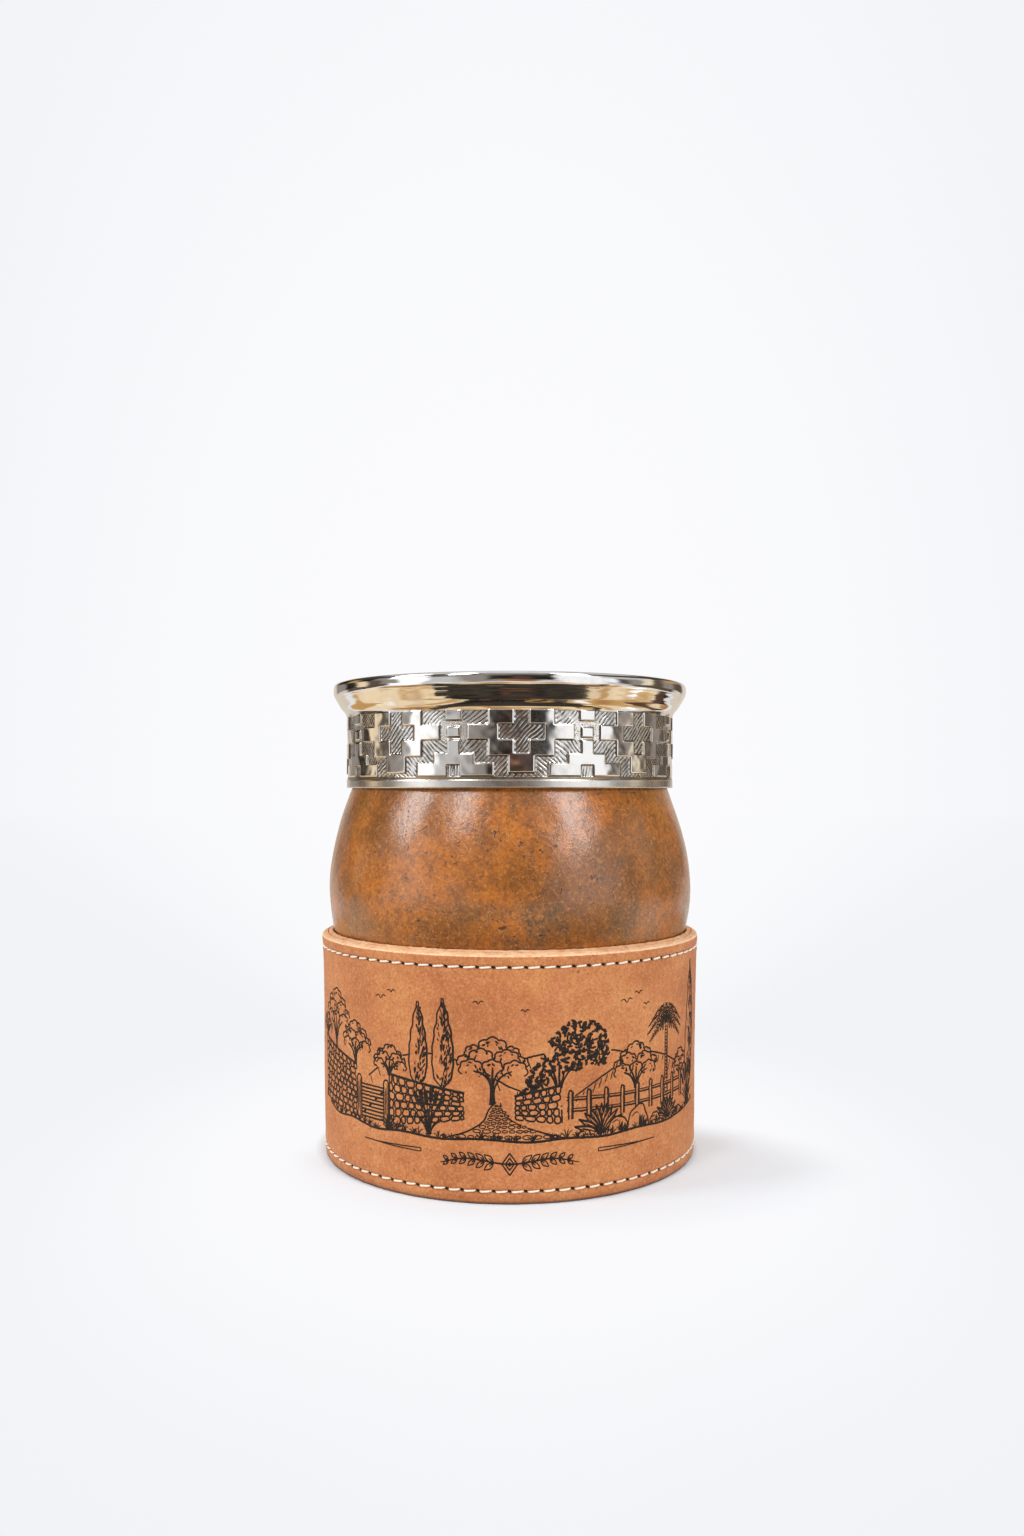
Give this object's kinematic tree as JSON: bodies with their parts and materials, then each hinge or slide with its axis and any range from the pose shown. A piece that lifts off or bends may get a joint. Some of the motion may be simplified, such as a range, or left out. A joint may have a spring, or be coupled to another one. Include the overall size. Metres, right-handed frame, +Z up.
{
  "type": "leather-covered mate gourd",
  "caption": "Calabash mate cup with a flared metal ferrule, standing in a stitched leather sleeve that it lifts out of and turns in.",
  "frame": {"origin": "centre of the sleeve's foot, in the plane that the part stands on", "axes": "+Z up along the gourd's axis; the butt seam of the leather is on the +Y side and the engraved front faces -Y"},
  "size_m": [0.0903, 0.0904, 0.1103],
  "materials": {
    "gourd": "dried calabash skin, orange-brown with dark blotches, satin",
    "gourd_resin": "dark bedding resin, matte",
    "nickel_silver_band": "chased nickel silver, bright with hatched grounds",
    "nickel_silver_rim": "spun nickel silver, mirror polish",
    "nickel_silver_bead": "nickel silver wire, polished",
    "leather_face": "vegetable-tanned leather, natural tan, matte grain, dark engraved line ornament",
    "leather_lining": "natural leather, flesh side, matte",
    "leather_sole": "thick sole leather, matte",
    "insole_felt": "pressed felt",
    "waxed_thread": "waxed cream thread",
    "lacing_thread": "heavier waxed cream thread"
  },
  "bodies": {
    "sleeve": {"sleeve_outer": "leather_face", "sleeve_lining": "leather_lining", "base_sole": "leather_sole", "thread_top_outer": "waxed_thread", "thread_top_inner": "waxed_thread", "thread_foot_outer": "waxed_thread", "thread_base": "waxed_thread", "seam_lacing": "lacing_thread"},
    "insole": {"insole_pad": "insole_felt"},
    "gourd": {"gourd_shell": "gourd", "neck_bedding": "gourd_resin", "chased_band": "nickel_silver_band", "flared_rim": "nickel_silver_rim", "rim_bead": "nickel_silver_bead"}
  },
  "joints": [
    {"name": "gourd_turn", "type": "hinge", "parent": "sleeve", "child": "insole", "pos_m": [0, 0, 0.0043], "axis": [0, 0, 1], "continuous": true},
    {"name": "gourd_lift", "type": "slide", "parent": "insole", "child": "gourd", "axis": [0, 0, 1], "range_m": [0, 0.06]}
  ]
}
